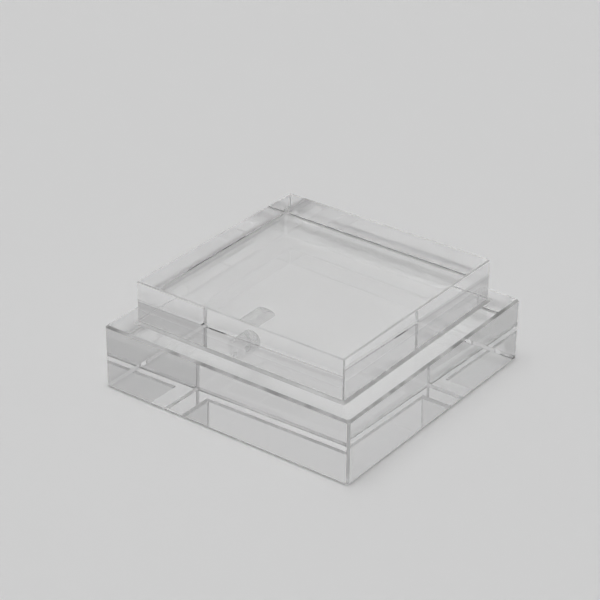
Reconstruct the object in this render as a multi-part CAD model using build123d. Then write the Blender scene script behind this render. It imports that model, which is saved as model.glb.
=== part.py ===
from build123d import *
import os

# Two-tier optical counting block: a square lower slab with a smaller square platform
# cemented on its top face. Millimetres, +Z up. The origin is the centre of the resting face.
# The side faces look along +X, -X, +Y and -Y. A round blind hole enters the platform's -Y face,
# and a clear plug fills it, level with that face.

# Driving dimensions
BASE_SIDE = 76.0        # side of the square lower slab
PLATFORM_SIDE = 64.0    # side of the square upper slab, which leaves an even ledge
BASE_HEIGHT = 18.0      # thickness of the lower slab
OVERALL_HEIGHT = 30.0   # resting face to top face
BOND_THICKNESS = 0.1    # cured layer of clear optical cement between the slabs
BASE_CHAMFER = 0.6      # ground 45 degree flat on every edge of the lower slab
PLATFORM_CHAMFER = 0.3  # the same on every edge of the upper slab
CEMENT_BEAD = 0.7       # leg of the 45 degree bead of cement round the upper slab's foot
BEAD_RIM = 0.02         # upright rim at the bead's outer edge
HOLE_DIAMETER = 5.5     # round blind hole in the middle of the platform's -Y face
HOLE_DEPTH = 11.7       # mouth to the hole's flat end
HOLE_HEIGHT = 21.6      # resting face to the hole's axis, which is level
PLUG_CLEARANCE = 0.05   # room for cement round the plug and behind it

# The upper slab starts on top of the cement and ends at the overall height.
PLATFORM_BOTTOM = BASE_HEIGHT + BOND_THICKNESS
PLATFORM_HEIGHT = OVERALL_HEIGHT - PLATFORM_BOTTOM

# The cement spreads past the upper slab on all sides by the bead's leg.
BOND_SIDE = PLATFORM_SIDE + 2 * CEMENT_BEAD


def chamfered_slab(side, height, bottom, flat):
    """A square slab centred on the Z axis, standing on z = bottom, with a flat on every edge."""
    slab = Box(side, side, height, align=(Align.CENTER, Align.CENTER, Align.MIN))
    slab = chamfer(slab.edges(), flat)
    return Pos(0, 0, bottom) * slab


def base_block():
    """The larger slab, whose lower face is the one that the block rests on."""
    return chamfered_slab(BASE_SIDE, BASE_HEIGHT, 0, BASE_CHAMFER)


def level_cylinder(diameter, depth):
    """A cylinder that runs inwards from the platform's -Y face, on the hole's axis."""
    cylinder = Cylinder(diameter / 2, depth, align=(Align.CENTER, Align.CENTER, Align.MIN))
    return Pos(0, -PLATFORM_SIDE / 2, HOLE_HEIGHT) * Rot(-90, 0, 0) * cylinder


def platform_block():
    """The smaller slab, whose upper face is the working platform, with the hole in one side."""
    slab = chamfered_slab(PLATFORM_SIDE, PLATFORM_HEIGHT, PLATFORM_BOTTOM, PLATFORM_CHAMFER)
    return slab - level_cylinder(HOLE_DIAMETER, HOLE_DEPTH)


def hole_plug():
    """The clear round plug that fills the hole, its outer end level with the side face."""
    return level_cylinder(HOLE_DIAMETER - 2 * PLUG_CLEARANCE, HOLE_DEPTH - PLUG_CLEARANCE)


def bond_layer():
    """The film of cement between the slabs, with the sloping bead that was squeezed out round it."""
    cement = Box(BOND_SIDE, BOND_SIDE, CEMENT_BEAD, align=(Align.CENTER, Align.CENTER, Align.MIN))
    top_edges = cement.edges().group_by(Axis.Z)[-1]
    # Just under the full height, so that a sliver of upright rim is left for the chamfer to start from.
    cement = chamfer(top_edges, CEMENT_BEAD - BEAD_RIM)
    return Pos(0, 0, BASE_HEIGHT) * cement - platform_block()


SUB_PARTS = {
    "base_block": base_block,
    "platform_block": platform_block,
    "bond_layer": bond_layer,
    "hole_plug": hole_plug,
}

os.makedirs("parts", exist_ok=True)
for node_name, make_solid in SUB_PARTS.items():
    export_step(make_solid(), f"parts/{node_name}.step")
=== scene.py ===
import math

import bmesh
import bpy
from mathutils import Matrix, Vector


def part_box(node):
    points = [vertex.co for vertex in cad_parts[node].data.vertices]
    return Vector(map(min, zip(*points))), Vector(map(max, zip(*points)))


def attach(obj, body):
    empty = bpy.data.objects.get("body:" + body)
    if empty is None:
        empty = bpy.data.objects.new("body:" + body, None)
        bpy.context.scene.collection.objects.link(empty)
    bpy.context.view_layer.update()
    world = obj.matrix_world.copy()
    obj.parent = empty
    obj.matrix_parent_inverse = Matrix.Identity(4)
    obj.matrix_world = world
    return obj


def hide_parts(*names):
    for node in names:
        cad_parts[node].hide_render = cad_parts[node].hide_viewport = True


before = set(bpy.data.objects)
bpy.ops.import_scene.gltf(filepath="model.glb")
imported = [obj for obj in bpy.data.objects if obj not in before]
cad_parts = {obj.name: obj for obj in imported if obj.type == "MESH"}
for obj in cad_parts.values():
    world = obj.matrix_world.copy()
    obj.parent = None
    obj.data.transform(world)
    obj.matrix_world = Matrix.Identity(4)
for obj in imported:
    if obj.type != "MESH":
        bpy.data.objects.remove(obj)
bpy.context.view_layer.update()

# A block of clear glass in two tiers: two square slabs, the film of cement between them, and a
# clear plug in a blind hole. Each piece stands in for one CAD node. It has a finish of its own for
# polished, ground and cemented faces, and light passes straight through where two pieces are joined.

# ---------------------------------------------------------------- sizes, in metres
BASE_LOW, BASE_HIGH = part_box("base_block")
PLATFORM_LOW, PLATFORM_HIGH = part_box("platform_block")
_, BOND_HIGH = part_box("bond_layer")
PLUG_LOW, PLUG_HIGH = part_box("hole_plug")
SIDE = BASE_HIGH[0] - BASE_LOW[0]
BASE_HALF = SIDE / 2
PLATFORM_HALF = PLATFORM_HIGH[0]
BOND_HALF = BOND_HIGH[0]
Z_FLOOR = BASE_LOW[2]
Z_LEDGE = BASE_HIGH[2]
Z_BOND = PLATFORM_LOW[2]
Z_BEAD = BOND_HIGH[2]     # the bead of cement climbs this high up the platform's sides
Z_TOP = PLATFORM_HIGH[2]

PLATFORM_ARRIS = 0.0003   # 45 degree flats on every edge of the platform
BASE_ARRIS = 0.0006       # the same on the base
CEMENT_ROOM = 0.00005     # the CAD's plug stands this far from the wall and the end of its hole
PLUG_SKIN = 0.00001       # the visible plug comes this near to both
HOLE_RADIUS = (PLUG_HIGH[0] - PLUG_LOW[0]) / 2 + CEMENT_ROOM
HOLE_DEPTH = PLUG_HIGH[1] - PLUG_LOW[1] + CEMENT_ROOM
HOLE_HEIGHT = (PLUG_LOW[2] + PLUG_HIGH[2]) / 2
HOLE_STEPS = 96           # points round the hole, a multiple of 4

# A painted shadow of the floor under the block: the resting face greys along a soft line this far
# inside each side.
SHADOW_LINE_WEST = 0.0012       # the -X side
SHADOW_LINE_EAST = 0.0014       # the +X side
SHADOW_LINE_SOUTH = 0.0014      # the -Y side
SHADOW_LINE_NORTH = 0.0043      # the +Y side

# ---------------------------------------------------------------- camera
LENS_MM = 124.9
SENSOR_MM = 36.0
CAMERA_AZIMUTH = 0.6378     # radians, from -Y towards +X
CAMERA_ELEVATION = 0.5006   # radians above the floor
CAMERA_ROLL = 0.0079        # radians
CAMERA_DISTANCE = 7.5569 * SIDE
AIM = Vector((-0.3456 * SIDE, 0.3822 * SIDE, 0.0))  # what the middle of the view falls on
FAR_CLIP = 100.0            # well past the backdrop


# ---------------------------------------------------------------- materials
WHITE = (1, 1, 1, 1)
GLASS_IOR = 1.567
SKIN_CLEARNESS = 0.28     # share of light that crosses a ground skin unbent

# A finish varies in soft patches of noise. A scale is about as many patches to the metre.
NOISE_DETAIL = 2.0
NOISE_LOW = 0.38          # most of the noise lies between these two
NOISE_HIGH = 0.62
EVEN = (1, 1, 1)          # patches as long along X, Y and Z
GRIND_SCALE = 130.0       # the ground flats
STREAK_SCALE = 300.0      # the wall of the hole
STREAKS = (1, 0.15, 1)    # patches that are long along Y
WANDER_SCALE = 160.0      # the bends of the painted shadow line
WANDER = 0.08             # how far it bends, as a share of its distance from the side

# The painted shadow line, across its width. Widths are shares of its distance from the side.
SHADOW_LINE_SHADE = 0.9         # light that its middle lets through
SHADOW_LINE_CORE = 0.2          # half the width of that even middle
SHADOW_LINE_FADE = 0.5          # half the whole width
RAMP_MIDDLE = 0.5         # where the line lies on its colour ramp


def new_material(name):
    """An empty node material, its node tree and its output's Surface socket."""
    material = bpy.data.materials.new(name)
    material.use_nodes = True
    tree = material.node_tree
    tree.nodes.clear()
    out = tree.nodes.new("ShaderNodeOutputMaterial")
    return material, tree, out.inputs["Surface"]


def grey(shade):
    """An opaque neutral colour."""
    return (shade, shade, shade, 1)


def feed(tree, socket, value):
    """Sets a socket to a number, or links another socket to it."""
    if isinstance(value, (int, float)):
        socket.default_value = value
    else:
        tree.links.new(value, socket)


def glass_shader(tree):
    """A shader node of clear glass with a polished face."""
    shader = tree.nodes.new("ShaderNodeBsdfGlass")
    shader.inputs["Color"].default_value = WHITE
    shader.inputs["Roughness"].default_value = 0.0
    shader.inputs["IOR"].default_value = GLASS_IOR
    return shader


def clear_shader(tree):
    """A shader node that neither bends nor mirrors light."""
    shader = tree.nodes.new("ShaderNodeBsdfTransparent")
    shader.inputs["Color"].default_value = WHITE
    return shader


def matt_shader(tree, shade):
    """A shader node of matt grey."""
    shader = tree.nodes.new("ShaderNodeBsdfDiffuse")
    shader.inputs["Color"].default_value = grey(shade)
    return shader


def reckon(tree, operation, a, b):
    """One step of arithmetic in a node tree, on numbers or sockets."""
    node = tree.nodes.new("ShaderNodeMath")
    node.operation = operation
    feed(tree, node.inputs[0], a)
    feed(tree, node.inputs[1], b)
    return node.outputs[0]


def mix_shaders(tree, share, first, second):
    """A mix of two shader nodes. share, a number or a socket, is the second one's part."""
    mix = tree.nodes.new("ShaderNodeMixShader")
    feed(tree, mix.inputs["Fac"], share)
    tree.links.new(first.outputs[0], mix.inputs[1])
    tree.links.new(second.outputs[0], mix.inputs[2])
    return mix


def mottle(tree, scale, stretch, low, high):
    """A socket that varies from low to high in soft patches."""
    place = tree.nodes.new("ShaderNodeTexCoord")
    shape = tree.nodes.new("ShaderNodeMapping")
    shape.inputs["Scale"].default_value = stretch
    noise = tree.nodes.new("ShaderNodeTexNoise")
    noise.inputs["Scale"].default_value = scale
    noise.inputs["Detail"].default_value = NOISE_DETAIL
    spread = tree.nodes.new("ShaderNodeMapRange")
    spread.inputs["From Min"].default_value = NOISE_LOW
    spread.inputs["From Max"].default_value = NOISE_HIGH
    spread.inputs["To Min"].default_value = low
    spread.inputs["To Max"].default_value = high
    tree.links.new(place.outputs["Object"], shape.inputs["Vector"])
    tree.links.new(shape.outputs["Vector"], noise.inputs["Vector"])
    tree.links.new(noise.outputs["Fac"], spread.inputs["Value"])
    return spread.outputs["Result"]


def polished_glass(name):
    """Clear glass with a polished face."""
    material, tree, surface = new_material(name)
    tree.links.new(glass_shader(tree).outputs[0], surface)
    return material


def wetted_joint(name):
    """A face that cement covers, where light goes straight on."""
    material, tree, surface = new_material(name)
    tree.links.new(clear_shader(tree).outputs[0], surface)
    return material


def ground_glass(name, shade, low, high):
    """Glass with a thin ground skin, which covers a share of it from low to high in patches."""
    material, tree, surface = new_material(name)
    skin = mix_shaders(tree, SKIN_CLEARNESS, matt_shader(tree, shade), clear_shader(tree))
    patches = mottle(tree, GRIND_SCALE, EVEN, low, high)
    finish = mix_shaders(tree, patches, glass_shader(tree), skin)
    tree.links.new(finish.outputs[0], surface)
    return material


def veiled_joint(name, shade, low, high):
    """A cemented wall that was ground: clear, with a faint grey veil in streaks along Y."""
    material, tree, surface = new_material(name)
    streaks = mottle(tree, STREAK_SCALE, STREAKS, low, high)
    finish = mix_shaders(tree, streaks, clear_shader(tree), matt_shader(tree, shade))
    tree.links.new(finish.outputs[0], surface)
    return material


def shadow_line_depth(tree):
    """A socket: 0 at the resting face's nearest side, and 1 on the painted shadow line along that
    side.
    """
    place = tree.nodes.new("ShaderNodeTexCoord")
    split = tree.nodes.new("ShaderNodeSeparateXYZ")
    tree.links.new(place.outputs["Object"], split.inputs[0])
    across, along = split.outputs["X"], split.outputs["Y"]
    sides = ((reckon(tree, "ADD", across, BASE_HALF), SHADOW_LINE_WEST),
             (reckon(tree, "SUBTRACT", BASE_HALF, across), SHADOW_LINE_EAST),
             (reckon(tree, "ADD", along, BASE_HALF), SHADOW_LINE_SOUTH),
             (reckon(tree, "SUBTRACT", BASE_HALF, along), SHADOW_LINE_NORTH))
    depths = [reckon(tree, "DIVIDE", distance, line) for distance, line in sides]
    nearest = depths[0]
    for depth in depths[1:]:
        nearest = reckon(tree, "MINIMUM", nearest, depth)
    return nearest


def shadow_lined_glass(name):
    """Polished glass with a painted shadow: a soft grey line a little inside each of its four sides.
    """
    material, tree, surface = new_material(name)
    wander = mottle(tree, WANDER_SCALE, EVEN, 1 - WANDER, 1 + WANDER)
    depth = reckon(tree, "MULTIPLY", shadow_line_depth(tree), wander)
    tone = tree.nodes.new("ShaderNodeValToRGB")
    tree.links.new(reckon(tree, "MULTIPLY", depth, RAMP_MIDDLE), tone.inputs["Fac"])
    steps = tone.color_ramp.elements
    steps[0].position = RAMP_MIDDLE * (1 - SHADOW_LINE_FADE)
    steps[1].position = RAMP_MIDDLE * (1 + SHADOW_LINE_FADE)
    for step in steps:
        step.color = WHITE
    for position in (RAMP_MIDDLE * (1 - SHADOW_LINE_CORE), RAMP_MIDDLE * (1 + SHADOW_LINE_CORE)):
        # the grey middle of the painted shadow line
        steps.new(position).color = grey(SHADOW_LINE_SHADE)
    shader = glass_shader(tree)
    tree.links.new(tone.outputs["Color"], shader.inputs["Color"])
    tree.links.new(shader.outputs[0], surface)
    return material


# Every piece carries the same list, and its faces choose by number.
MATERIALS = [
    polished_glass("clear_glass"),
    wetted_joint("bonded_face"),
    ground_glass("ground_edge", shade=0.85, low=0.5, high=1.0),
    ground_glass("fine_edge", shade=0.95, low=0.9, high=1.0),
    ground_glass("cement_bead", shade=0.85, low=0.85, high=1.0),
    veiled_joint("ground_wall", shade=0.85, low=0.14, high=0.3),
    # painted shadow along the resting face's sides
    shadow_lined_glass("painted_shadow_glass"),
]
CLEAR, JOINT, EDGE, FINE_EDGE, BEAD, WALL, PAINTED_SHADOW = range(len(MATERIALS))


# ---------------------------------------------------------------- the block
def square_loop(mesh, half, z, cut):
    """Eight points round a square at height z whose corners are cut off by cut."""
    points = []
    for x, y in ((-1, -1), (1, -1), (1, 1), (-1, 1)):
        corner = Vector((x * half, y * half, z))
        along_x = Vector((-x * cut, 0, 0))
        along_y = Vector((0, -y * cut, 0))
        first, second = (along_y, along_x) if x * y > 0 else (along_x, along_y)
        points += [mesh.verts.new(corner + first), mesh.verts.new(corner + second)]
    return points


def band(mesh, low, high, sides, corners):
    """Faces between two square loops: long ones of the material sides, narrow ones of corners."""
    faces = []
    count = len(low)
    for i in range(count):
        j = (i + 1) % count
        face = mesh.faces.new((low[i], low[j], high[j], high[i]))
        face.material_index = sides if i % 2 else corners
        faces.append(face)
    return faces


def round_loop(mesh, radius, y):
    """Points round the hole's axis, starting on its -X side."""
    points = []
    for i in range(HOLE_STEPS):
        angle = 2 * math.pi * i / HOLE_STEPS - math.pi
        x = radius * math.cos(angle)
        z = HOLE_HEIGHT + radius * math.sin(angle)
        points.append(mesh.verts.new((x, y, z)))
    return points


def round_wall(mesh, near, far, material):
    """Smooth faces between two round loops, and the flat end on the far one."""
    for i in range(HOLE_STEPS):
        j = (i + 1) % HOLE_STEPS
        wall = mesh.faces.new((near[i], near[j], far[j], far[i]))
        wall.smooth = True
        wall.material_index = material
    mesh.faces.new(far).material_index = material


def blind_hole(mesh, face):
    """Opens a round hole in an upright face that looks along -Y, with its wall and flat end."""
    corners = sorted(face.verts, key=lambda v: math.atan2(v.co.z - HOLE_HEIGHT, v.co.x))
    mouth_y = face.verts[0].co.y
    mesh.faces.remove(face)
    mouth = round_loop(mesh, HOLE_RADIUS, mouth_y)
    end = round_loop(mesh, HOLE_RADIUS, mouth_y + HOLE_DEPTH)
    quarter = HOLE_STEPS // 4
    for k, corner in enumerate(corners):
        start = k * quarter
        for i in range(start, start + quarter):
            mesh.faces.new((corner, mouth[i], mouth[(i + 1) % HOLE_STEPS]))
        mesh.faces.new((corner, mouth[(start + quarter) % HOLE_STEPS], corners[(k + 1) % 4]))
    round_wall(mesh, mouth, end, JOINT)


def finish_piece(mesh, name):
    """Turns a mesh under construction into a named object that carries the materials."""
    bmesh.ops.recalc_face_normals(mesh, faces=mesh.faces)
    data = bpy.data.meshes.new(name)
    mesh.to_mesh(data)
    mesh.free()
    for material in MATERIALS:
        data.materials.append(material)
    piece = bpy.data.objects.new(name, data)
    bpy.context.scene.collection.objects.link(piece)
    return piece


def base_slab():
    """The lower slab. Its top face has a square inside it where the cement lies."""
    mesh = bmesh.new()
    foot = square_loop(mesh, BASE_HALF - BASE_ARRIS, Z_FLOOR, BASE_ARRIS)
    low = square_loop(mesh, BASE_HALF, Z_FLOOR + BASE_ARRIS, BASE_ARRIS)
    high = square_loop(mesh, BASE_HALF, Z_LEDGE - BASE_ARRIS, BASE_ARRIS)
    rim = square_loop(mesh, BASE_HALF - BASE_ARRIS, Z_LEDGE, BASE_ARRIS)
    seat = square_loop(mesh, BOND_HALF, Z_LEDGE, PLATFORM_ARRIS)
    band(mesh, foot, low, CLEAR, CLEAR)
    band(mesh, low, high, CLEAR, FINE_EDGE)
    band(mesh, high, rim, EDGE, EDGE)
    band(mesh, rim, seat, CLEAR, CLEAR)
    # the resting face carries the painted shadow line
    mesh.faces.new(foot).material_index = PAINTED_SHADOW
    mesh.faces.new(seat).material_index = JOINT
    return finish_piece(mesh, "base_slab")


def cement_film():
    """The cured cement: a film between the slabs and a sloping bead round the platform's foot."""
    mesh = bmesh.new()
    outside = square_loop(mesh, BOND_HALF, Z_LEDGE, PLATFORM_ARRIS)
    crest = square_loop(mesh, PLATFORM_HALF, Z_BEAD, PLATFORM_ARRIS)
    low = square_loop(mesh, PLATFORM_HALF, Z_BOND + PLATFORM_ARRIS, PLATFORM_ARRIS)
    seat = square_loop(mesh, PLATFORM_HALF - PLATFORM_ARRIS, Z_BOND, PLATFORM_ARRIS)
    band(mesh, outside, crest, BEAD, BEAD)
    band(mesh, crest, low, JOINT, JOINT)
    band(mesh, low, seat, JOINT, JOINT)
    mesh.faces.new(outside).material_index = JOINT
    mesh.faces.new(seat).material_index = JOINT
    return finish_piece(mesh, "cement_film")


def platform_slab():
    """The upper slab, with the blind hole in the middle of its -Y side."""
    mesh = bmesh.new()
    seat = square_loop(mesh, PLATFORM_HALF - PLATFORM_ARRIS, Z_BOND, PLATFORM_ARRIS)
    low = square_loop(mesh, PLATFORM_HALF, Z_BOND + PLATFORM_ARRIS, PLATFORM_ARRIS)
    crest = square_loop(mesh, PLATFORM_HALF, Z_BEAD, PLATFORM_ARRIS)
    high = square_loop(mesh, PLATFORM_HALF, Z_TOP - PLATFORM_ARRIS, PLATFORM_ARRIS)
    rim = square_loop(mesh, PLATFORM_HALF - PLATFORM_ARRIS, Z_TOP, PLATFORM_ARRIS)
    band(mesh, seat, low, JOINT, JOINT)
    band(mesh, low, crest, JOINT, JOINT)
    sides = band(mesh, crest, high, CLEAR, FINE_EDGE)
    band(mesh, high, rim, FINE_EDGE, FINE_EDGE)
    mesh.faces.new(seat).material_index = JOINT
    mesh.faces.new(rim).material_index = CLEAR
    blind_hole(mesh, min(sides, key=lambda face: face.calc_center_median().y))
    return finish_piece(mesh, "platform_slab")


def clear_plug():
    """The plug in the hole, level with the side face, cemented in all over."""
    mesh = bmesh.new()
    radius = HOLE_RADIUS - PLUG_SKIN
    outside = round_loop(mesh, radius, -PLATFORM_HALF)
    inside = round_loop(mesh, radius, -PLATFORM_HALF + HOLE_DEPTH - PLUG_SKIN)
    round_wall(mesh, outside, inside, WALL)
    mesh.faces.new(outside).material_index = CLEAR
    return finish_piece(mesh, "plug_rod")


for piece, node, slot in ((base_slab(), "base_block", "base_glass"),
                          (cement_film(), "bond_layer", "optical_cement"),
                          (platform_slab(), "platform_block", "platform_glass"),
                          (clear_plug(), "hole_plug", "plug_glass")):
    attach(piece, "root")
    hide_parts(node)

# ---------------------------------------------------------------- floor and backdrop
FLOOR_WIDTH = 6.0
FLOOR_REACH = 3.0         # floor in front of the object, and behind it before the curve
FLOOR_CURVE = 1.0         # radius of the curve up into the backdrop
CURVE_STEPS = 24
BACKDROP_HEIGHT = 2.0
FLOOR_GAP = 0.00003       # air under the block
FLOOR_SHADE = 0.8
FLOOR_ROUGHNESS = 0.9


def floor_paint():
    """A pale matt material."""
    material = bpy.data.materials.new("pale_floor")
    material.use_nodes = True
    paint = material.node_tree.nodes["Principled BSDF"]
    paint.inputs["Base Color"].default_value = grey(FLOOR_SHADE)
    paint.inputs["Roughness"].default_value = FLOOR_ROUGHNESS
    paint.inputs["Specular IOR Level"].default_value = 0.0
    return material


def floor_sweep():
    """Floor that curves up into a backdrop behind the object."""
    profile = [(-FLOOR_REACH, 0.0), (FLOOR_REACH, 0.0)]
    for i in range(1, CURVE_STEPS + 1):
        turn = i / CURVE_STEPS * math.pi / 2
        y = FLOOR_REACH + FLOOR_CURVE * math.sin(turn)
        z = FLOOR_CURVE * (1 - math.cos(turn))
        profile.append((y, z))
    profile.append((FLOOR_REACH + FLOOR_CURVE, BACKDROP_HEIGHT))
    mesh = bmesh.new()
    ends = (-FLOOR_WIDTH / 2, FLOOR_WIDTH / 2)
    rows = [[mesh.verts.new((x, y, z)) for x in ends] for y, z in profile]
    for near, far in zip(rows, rows[1:]):
        mesh.faces.new((near[0], near[1], far[1], far[0])).smooth = True
    data = bpy.data.meshes.new("floor")
    mesh.to_mesh(data)
    mesh.free()
    data.materials.append(floor_paint())
    floor = bpy.data.objects.new("floor", data)
    bpy.context.scene.collection.objects.link(floor)
    floor.location.z = -FLOOR_GAP
    return floor


floor_sweep()


# ---------------------------------------------------------------- light
SKY_STRENGTH = 0.475
SKY_LEAN = 0.095          # the bright side has this much more, and the far side this much less
BRIGHT_SIDE = (-0.95, 0.31, 0)
PANEL_STRENGTH = 3.0      # on top of the sky's
PANEL_PLACE = (-0.05, -0.08, 1)
PANEL_REACH = 18.0        # degrees from the panel's middle to its rim
PANEL_EDGE = 3.0          # degrees to each side of the rim over which it fades


def studio_light():
    """A soft sky, brighter on one side, with a round soft panel nearly overhead."""
    world = bpy.data.worlds.new("studio")
    bpy.context.scene.world = world
    world.use_nodes = True
    tree = world.node_tree
    background = tree.nodes["Background"]
    background.inputs["Color"].default_value = WHITE
    place = tree.nodes.new("ShaderNodeTexCoord")

    def towards(direction):
        """A socket with the cosine of the angle between a ray and a direction."""
        node = tree.nodes.new("ShaderNodeVectorMath")
        node.operation = "DOT_PRODUCT"
        tree.links.new(place.outputs["Generated"], node.inputs[0])
        node.inputs[1].default_value = Vector(direction).normalized()
        return node.outputs["Value"]

    disc = tree.nodes.new("ShaderNodeMapRange")
    disc.interpolation_type = "SMOOTHSTEP"
    disc.inputs["From Min"].default_value = math.cos(math.radians(PANEL_REACH + PANEL_EDGE))
    disc.inputs["From Max"].default_value = math.cos(math.radians(PANEL_REACH - PANEL_EDGE))
    disc.inputs["To Min"].default_value = 0.0
    disc.inputs["To Max"].default_value = PANEL_STRENGTH
    tree.links.new(towards(PANEL_PLACE), disc.inputs["Value"])
    slope = reckon(tree, "MULTIPLY", towards(BRIGHT_SIDE), SKY_LEAN)
    sky = reckon(tree, "ADD", slope, SKY_STRENGTH)
    strength = reckon(tree, "ADD", disc.outputs["Result"], sky)
    tree.links.new(strength, background.inputs["Strength"])


studio_light()


# ---------------------------------------------------------------- camera and view
def add_camera():
    """A camera that looks at AIM from the angles and the distance above."""
    data = bpy.data.cameras.new("camera")
    data.lens = LENS_MM
    data.sensor_width = SENSOR_MM
    data.clip_end = FAR_CLIP
    back = Vector((math.sin(CAMERA_AZIMUTH) * math.cos(CAMERA_ELEVATION),
                   -math.cos(CAMERA_AZIMUTH) * math.cos(CAMERA_ELEVATION),
                   math.sin(CAMERA_ELEVATION)))
    right = Vector((0, 0, 1)).cross(back).normalized()
    up = back.cross(right)
    turn = Matrix((right, up, back)).transposed() @ Matrix.Rotation(CAMERA_ROLL, 3, "Z")
    camera = bpy.data.objects.new("camera", data)
    camera.matrix_world = Matrix.Translation(AIM + back * CAMERA_DISTANCE) @ turn.to_4x4()
    bpy.context.scene.collection.objects.link(camera)
    bpy.context.scene.camera = camera


add_camera()

LIGHT_BOUNCES = 32        # light passes many faces inside the glass
scene = bpy.context.scene
scene.view_settings.view_transform = "Standard"
scene.cycles.sampling_pattern = "TABULATED_SOBOL"
scene.cycles.blur_glossy = 0.0    # keeps what is seen through the glass sharp
scene.cycles.max_bounces = LIGHT_BOUNCES
scene.cycles.transmission_bounces = LIGHT_BOUNCES
scene.cycles.transparent_max_bounces = LIGHT_BOUNCES
